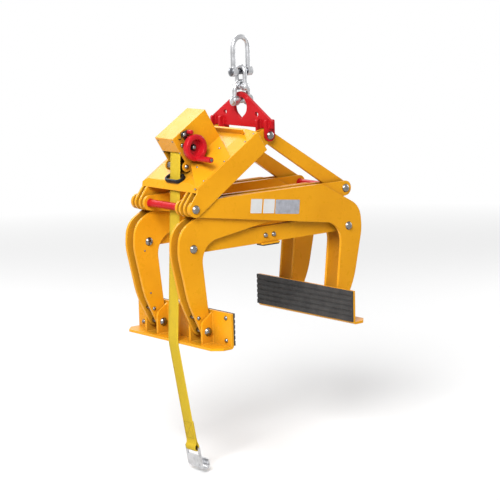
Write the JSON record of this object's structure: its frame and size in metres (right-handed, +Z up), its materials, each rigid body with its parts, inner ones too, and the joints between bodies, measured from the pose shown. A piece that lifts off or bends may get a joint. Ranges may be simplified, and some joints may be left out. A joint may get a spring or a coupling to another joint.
{
  "type": "concrete barrier lifter",
  "caption": "Scissor clamp for lifting concrete barriers: crossed arms with rocking rubber pads hang by links from a yoke and shackles, with a hand winch for a safety strap.",
  "frame": {"origin": "inside top of the upper shackle's bow, where a hook carries the lifter", "axes": "+Z up, X across the load from pad to pad, Y along the load; the winch crank points to -Y"},
  "size_m": [0.7534, 0.478, 1.3697],
  "materials": {
    "yellow_paint": "gloss enamel",
    "red_paint": "gloss enamel",
    "red_plastic": "moulded",
    "zinc_steel": "bright zinc",
    "dark_steel": "oiled",
    "strap_web": "woven",
    "black_plastic": "matt",
    "dark_rubber": "matt"
  },
  "bodies": {
    "upper_shackle": {"upper_bow": "zinc_steel", "upper_pin": "dark_steel"},
    "middle_shackle": {"middle_bow": "zinc_steel", "middle_pin": "zinc_steel"},
    "lower_shackle": {"lower_bow": "zinc_steel", "lower_pin": "zinc_steel"},
    "yoke": {"yoke_plate": "red_paint", "yoke_lugs": "red_paint", "yoke_pins": "zinc_steel"},
    "left_link": {"left_link_front": "yellow_paint", "left_link_back": "yellow_paint", "link_cover": "yellow_paint", "strap_grommet": "black_plastic", "winch_housing": "yellow_paint", "guide_roller": "zinc_steel", "pawl_bolt": "zinc_steel", "strap_upper": "strap_web", "left_cross_shaft": "zinc_steel"},
    "right_link_front": {"right_link_front": "yellow_paint"},
    "right_link_back": {"right_link_back": "yellow_paint"},
    "right_arm": {"right_arm_front": "yellow_paint", "right_arm_back": "yellow_paint", "left_cross_tube": "red_paint", "right_elbow_pins": "zinc_steel", "right_stop_bolts": "zinc_steel"},
    "left_arm": {"left_arm_front": "yellow_paint", "left_arm_back": "yellow_paint", "right_cross_shaft": "zinc_steel", "right_cross_tube": "red_paint", "left_elbow_pins": "zinc_steel", "left_stop_bolts": "zinc_steel"},
    "front_bar": {"front_bar": "yellow_paint", "front_foot": "yellow_paint", "front_foot_rubber": "dark_rubber", "front_foot_bolts": "zinc_steel"},
    "back_bar": {"back_bar": "yellow_paint", "back_foot": "yellow_paint", "back_foot_rubber": "dark_rubber", "back_foot_bolts": "zinc_steel"},
    "left_pad": {"left_pad_plate": "yellow_paint", "left_pad_lugs": "yellow_paint", "left_pad_pins": "zinc_steel", "left_pad_rubber": "dark_rubber", "left_pad_bolts": "zinc_steel"},
    "right_pad": {"right_pad_plate": "yellow_paint", "right_pad_lugs": "yellow_paint", "right_pad_pins": "zinc_steel", "right_pad_rubber": "dark_rubber", "right_pad_bolts": "zinc_steel"},
    "winch_drum": {"drum_shaft": "dark_steel", "strap_roll": "strap_web", "ratchet_wheel": "dark_steel", "handwheel": "red_plastic", "hub_nut": "zinc_steel", "crank_spindle": "dark_steel"},
    "crank_grip": {"crank_grip": "red_plastic"},
    "pawl": {"pawl": "dark_steel", "pawl_knob": "red_plastic"},
    "strap_end": {"strap_lower": "strap_web", "strap_hook": "zinc_steel"}
  },
  "joints": [
    {"name": "middle_swing", "type": "hinge", "parent": "upper_shackle", "child": "middle_shackle", "pos_m": [0, 0, -0.102], "axis": [1, 0, 0], "range_deg": [-40, 40]},
    {"name": "lower_swing", "type": "hinge", "parent": "middle_shackle", "child": "lower_shackle", "pos_m": [0, 0, -0.1501], "axis": [0, 1, 0], "range_deg": [-40, 40]},
    {"name": "yoke_swing", "type": "hinge", "parent": "lower_shackle", "child": "yoke", "pos_m": [0, 0, -0.1937], "axis": [1, 0, 0], "range_deg": [-30, 30]},
    {"name": "grip_fold", "type": "hinge", "parent": "yoke", "child": "left_link", "pos_m": [0, 0, -0.2987], "axis": [0, -1, 0], "range_deg": [0, 16]},
    {"name": "right_link_front_fold", "type": "hinge", "parent": "yoke", "child": "right_link_front", "pos_m": [0, -0.114, -0.2987], "axis": [0, 1, 0], "range_deg": [0, 16]},
    {"name": "right_link_back_fold", "type": "hinge", "parent": "yoke", "child": "right_link_back", "pos_m": [0, 0.114, -0.2987], "axis": [0, 1, 0], "range_deg": [0, 16]},
    {"name": "right_arm_fold", "type": "hinge", "parent": "left_link", "child": "right_arm", "pos_m": [-0.318, 0, -0.4987], "axis": [0, 1, 0], "range_deg": [0, 33.7]},
    {"name": "left_arm_fold", "type": "hinge", "parent": "right_link_front", "child": "left_arm", "pos_m": [0.318, 0, -0.4987], "axis": [0, -1, 0], "range_deg": [0, 33.7]},
    {"name": "front_bar_level", "type": "hinge", "parent": "right_arm", "child": "front_bar", "pos_m": [0.32, -0.114, -0.6227], "axis": [0, -1, 0], "range_deg": [0, 17.7]},
    {"name": "back_bar_level", "type": "hinge", "parent": "right_arm", "child": "back_bar", "pos_m": [0.32, 0.114, -0.6227], "axis": [0, -1, 0], "range_deg": [0, 17.7]},
    {"name": "left_pad_rock", "type": "hinge", "parent": "left_arm", "child": "left_pad", "pos_m": [-0.279, 0, -0.8867], "axis": [0, 1, 0], "range_deg": [-4, 20], "deforming": ["strap_lower"]},
    {"name": "right_pad_rock", "type": "hinge", "parent": "right_arm", "child": "right_pad", "pos_m": [0.279, 0, -0.8867], "axis": [0, -1, 0], "range_deg": [-4, 20]},
    {"name": "strap_hang", "type": "hinge", "parent": "left_link", "child": "strap_end", "pos_m": [-0.3015, -0.028, -0.4987], "axis": [0, 1, 0], "range_deg": [0, 15.3]},
    {"name": "drum_turn", "type": "hinge", "parent": "left_link", "child": "winch_drum", "pos_m": [-0.25936, -0.028, -0.3177], "axis": [0, 1, 0], "continuous": true},
    {"name": "grip_spin", "type": "hinge", "parent": "winch_drum", "child": "crank_grip", "pos_m": [-0.25936, -0.128, -0.3507], "axis": [0, 1, 0], "continuous": true},
    {"name": "pawl_lift", "type": "hinge", "parent": "left_link", "child": "pawl", "pos_m": [-0.28927, -0.066, -0.27577], "axis": [0, -1, 0], "range_deg": [0, 25], "stiffness_Nm_per_rad": 0.3, "springref_deg": -17.19}
  ],
  "couplings": [
    {"joint": "right_link_front_fold", "follows": "grip_fold", "ratio": 1},
    {"joint": "right_link_back_fold", "follows": "grip_fold", "ratio": 1},
    {"joint": "right_arm_fold", "follows": "grip_fold", "ratio": 2.1},
    {"joint": "left_arm_fold", "follows": "grip_fold", "ratio": 2.1},
    {"joint": "front_bar_level", "follows": "grip_fold", "ratio": 1.1},
    {"joint": "back_bar_level", "follows": "grip_fold", "ratio": 1.1},
    {"joint": "strap_hang", "follows": "grip_fold", "ratio": 0.95}
  ]
}
